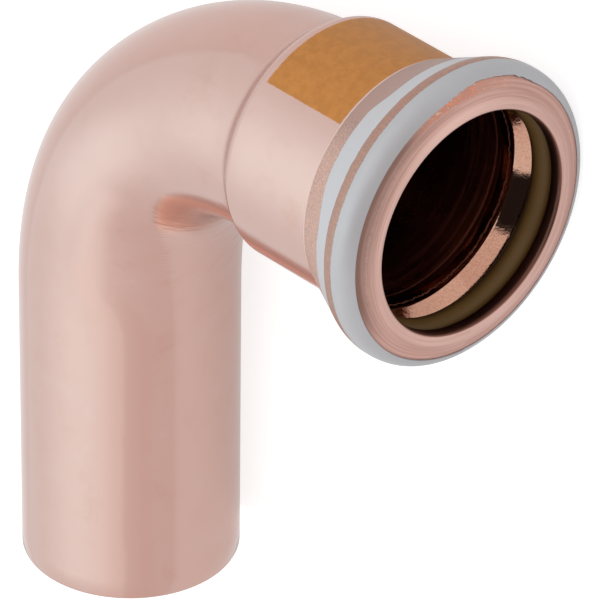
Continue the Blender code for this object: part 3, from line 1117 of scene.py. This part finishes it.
def white_table():
    material, tree, shader = new_finish("white_table")
    shader.inputs["Base Color"].default_value = (FLOOR_WHITE, FLOOR_WHITE, FLOOR_WHITE, 1.0)
    shader.inputs["Roughness"].default_value = 1.0
    shader.inputs["Specular IOR Level"].default_value = 0.0
    shader.inputs["Emission Color"].default_value = WHITE
    seen, mirrored = seen_and_mirrored(tree)
    glow_seen = product(tree, seen, FLOOR_GLOW_SEEN)
    glow_mirrored = product(tree, mirrored, FLOOR_GLOW_MIRRORED)
    glow = math_step(tree, "ADD", glow_mirrored, glow_seen)
    feed(tree, shader.inputs["Emission Strength"], glow)
    return material


table_mesh = bpy.data.meshes.new("table")
sheet = bmesh.new()
bmesh.ops.create_grid(sheet, x_segments=1, y_segments=1, size=FLOOR_SIZE / 2.0)
sheet.to_mesh(table_mesh)
sheet.free()
table = bpy.data.objects.new("table", table_mesh)
table.location.z = -FLOOR_DROP
table_mesh.materials.append(white_table())
bpy.context.scene.collection.objects.link(table)

ROOM_LEFT = (1.01, 1.08, 1.10, 1.0)
ROOM_RIGHT = (0.91, 0.86, 0.85, 1.0)
ROOM_SIDES = (-0.94, -0.06)
ROOM_FILL = (0.92, 0.92, 0.92, 1.0)
OVERHEAD_GLOW = (0.68, 1.12, 1.20, 1.0)
OVERHEAD_CENTRE = Vector((-0.17, -0.04, 0.985)).normalized()
OVERHEAD_SPREAD = math.radians(29.0)
DARK_WALL = (0.022, 0.02, 0.02, 1.0)
DARK_WALL_ALONG_LEG = (-0.31, 0.39, 0.03)
DARK_WALL_TURNS = (8.0, 62.0, 5.0)


def overhead_share(walls, direction):
    """How much of the overhead softbox's glow lies in a direction."""
    turned = add_node(walls, "ShaderNodeVectorMath", operation="DOT_PRODUCT")
    feed(walls, turned.inputs[0], direction)
    turned.inputs[1].default_value = OVERHEAD_CENTRE
    away = math_step(walls, "ARCCOSINE", math_step(walls, "MINIMUM", turned.outputs["Value"], 1.0))
    away = math_step(walls, "DIVIDE", away, OVERHEAD_SPREAD * math.sqrt(2.0))
    return math_step(walls, "EXPONENT", product(walls, away, away, -1.0))


def white_room():
    """A room that is white to the camera, and has its softbox and dark wall in mirrors."""
    room = bpy.data.worlds.new("white_room")
    room.use_nodes = True
    walls = room.node_tree
    seen, mirrored = seen_and_mirrored(walls)
    direction = add_node(walls, "ShaderNodeTexCoord").outputs["Generated"]
    towards = add_node(walls, "ShaderNodeSeparateXYZ")
    feed(walls, towards.inputs[0], direction)
    across_leg, along_leg, upward = towards.outputs
    in_mirrors = blend(walls, soft_step(walls, across_leg, *ROOM_SIDES), ROOM_LEFT, ROOM_RIGHT)
    overhead = overhead_share(walls, direction)
    in_mirrors = blend(walls, overhead, in_mirrors, OVERHEAD_GLOW, blend_type="ADD")
    turn = math_step(walls, "ARCTAN2", across_leg, upward)
    wall = product(
        walls,
        band(walls, along_leg, *DARK_WALL_ALONG_LEG),
        angle_band(walls, turn, *DARK_WALL_TURNS),
    )
    in_mirrors = blend(walls, wall, in_mirrors, DARK_WALL)
    light = blend(walls, mirrored, ROOM_FILL, in_mirrors)
    light = blend(walls, seen, light, WHITE)
    feed(walls, walls.nodes["Background"].inputs["Color"], light)
    return room


def softbox(name, place, aim, size, power):
    """A square softbox, which lights the fitting but doesn't show in the copper."""
    lamp = bpy.data.lights.new(name, "AREA")
    lamp.shape = "SQUARE"
    lamp.size = size
    lamp.energy = power
    holder = bpy.data.objects.new(name, lamp)
    holder.location = place
    holder.rotation_euler = (Vector(aim) - Vector(place)).to_track_quat("-Z", "Y").to_euler()
    holder.visible_glossy = False
    bpy.context.scene.collection.objects.link(holder)


bpy.context.scene.world = white_room()
softbox("overhead_softbox", place=(-0.10, 0.0, 0.80), aim=(-0.10, 0.0, 0.0), size=1.00, power=1.3)
softbox("front_softbox", place=(0.45, 0.60, 0.45), aim=(0.0, 0.0, 0.0), size=0.80, power=1.6)


# Camera
# A long lens, well away from the fitting, turned so that the fitting stands
# upright in the picture although it lies on the table.

CAMERA_LENS = 398.57
CAMERA_SENSOR = 36.0
CAMERA_SEES = (0.01, 20.0)
CAMERA_TURN = 0.8332
CAMERA_RISE = 0.5749
CAMERA_ROLL = 0.0086
CAMERA_DISTANCE = 640.97
LOOKED_AT = Vector((19.8, 0.0, 35.2))
PICTURE_OFFSET = (3.432, 2.343)


def camera_place():
    level = math.cos(CAMERA_RISE)
    sideways, forwards = math.sin(CAMERA_TURN) * level, math.cos(CAMERA_TURN) * level
    back = Vector((sideways, -forwards, math.sin(CAMERA_RISE)))
    right = Vector((math.cos(CAMERA_TURN), math.sin(CAMERA_TURN), 0.0))
    up = back.cross(right)
    rolled_right = math.cos(CAMERA_ROLL) * right + math.sin(CAMERA_ROLL) * up
    rolled_up = math.cos(CAMERA_ROLL) * up - math.sin(CAMERA_ROLL) * right
    stand = LOOKED_AT + CAMERA_DISTANCE * back
    aim = LOOKED_AT + PICTURE_OFFSET[0] * rolled_right + PICTURE_OFFSET[1] * rolled_up
    back = (stand - aim).normalized()
    right = rolled_up.cross(back).normalized()
    up = back.cross(right)
    upright = Matrix((right, up, back)).transposed().to_4x4()
    return lying_place() @ Matrix.Translation(stand) @ upright


camera_data = bpy.data.cameras.new("camera")
camera_data.lens = CAMERA_LENS
camera_data.sensor_width = CAMERA_SENSOR
camera_data.clip_start, camera_data.clip_end = CAMERA_SEES
camera = bpy.data.objects.new("camera", camera_data)
bpy.context.scene.collection.objects.link(camera)
stand = camera_place()
camera.matrix_world = Matrix.LocRotScale(stand.to_translation(), stand.to_quaternion(), None)
bpy.context.scene.camera = camera
bpy.context.scene.view_settings.view_transform = "Standard"
